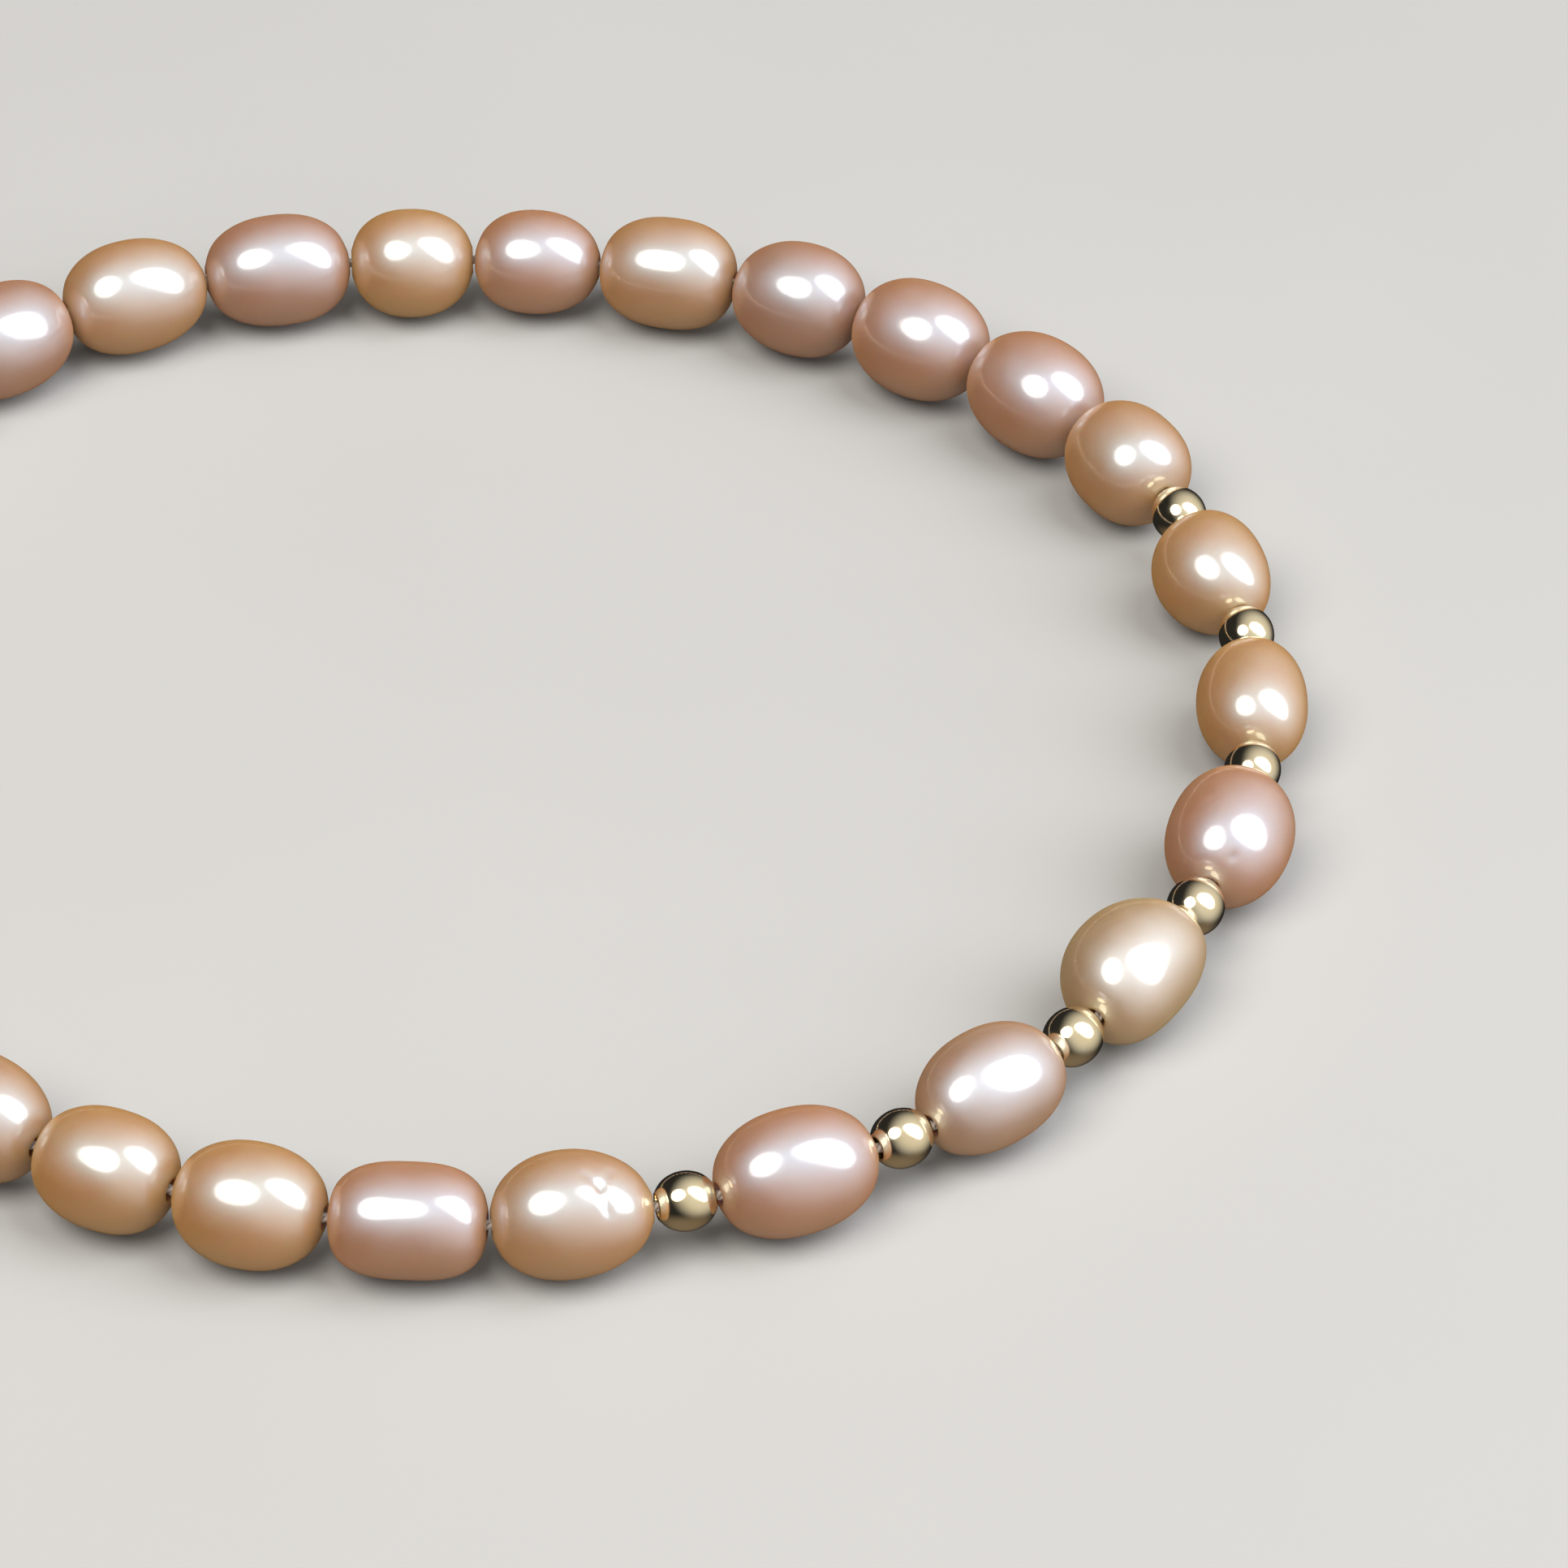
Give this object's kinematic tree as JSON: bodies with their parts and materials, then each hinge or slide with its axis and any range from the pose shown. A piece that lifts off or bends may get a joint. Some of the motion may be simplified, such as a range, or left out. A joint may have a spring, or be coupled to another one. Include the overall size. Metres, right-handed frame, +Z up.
{
  "type": "pearl bracelet",
  "caption": "Bracelet of oval peach and rose pearls on one thread, small round gold beads between the middle pearls and a plain barrel clasp opposite, lying in a closed loop.",
  "frame": {"origin": "on the surface that the bracelet rests on, under the middle of the loop's outline", "axes": "+Z up, +X across the loop's longer width towards the gold beads, +Y away from the camera of the picture"},
  "size_m": [0.063, 0.0584, 0.0048],
  "materials": {
    "pearl_peach": "glossy nacre",
    "pearl_rose": "glossy nacre",
    "pearl_golden": "glossy nacre",
    "pearl_cream": "glossy nacre",
    "pearl_mauve": "glossy nacre",
    "gold": "polished pale gold",
    "thread": "twisted beading thread"
  },
  "bodies": {
    "root": {"pearl_01": "pearl_peach", "pearl_02": "pearl_mauve", "pearl_03": "pearl_peach", "pearl_04": "pearl_mauve", "pearl_05": "pearl_golden", "pearl_06": "pearl_rose", "pearl_07": "pearl_peach", "pearl_08": "pearl_mauve", "pearl_09": "pearl_rose", "pearl_10": "pearl_rose", "pearl_11": "pearl_peach", "pearl_12": "pearl_golden", "pearl_13": "pearl_golden", "pearl_14": "pearl_rose", "pearl_15": "pearl_cream", "pearl_16": "pearl_rose", "pearl_17": "pearl_rose", "pearl_18": "pearl_peach", "pearl_19": "pearl_rose", "pearl_20": "pearl_golden", "pearl_21": "pearl_golden", "pearl_22": "pearl_peach", "pearl_23": "pearl_rose", "pearl_24": "pearl_peach", "pearl_25": "pearl_golden", "pearl_26": "pearl_mauve", "pearl_27": "pearl_peach", "pearl_28": "pearl_rose", "gold_bead_1": "gold", "gold_bead_2": "gold", "gold_bead_3": "gold", "gold_bead_4": "gold", "gold_bead_5": "gold", "gold_bead_6": "gold", "gold_bead_7": "gold", "clasp": "gold", "thread": "thread"}
  },
  "joints": []
}
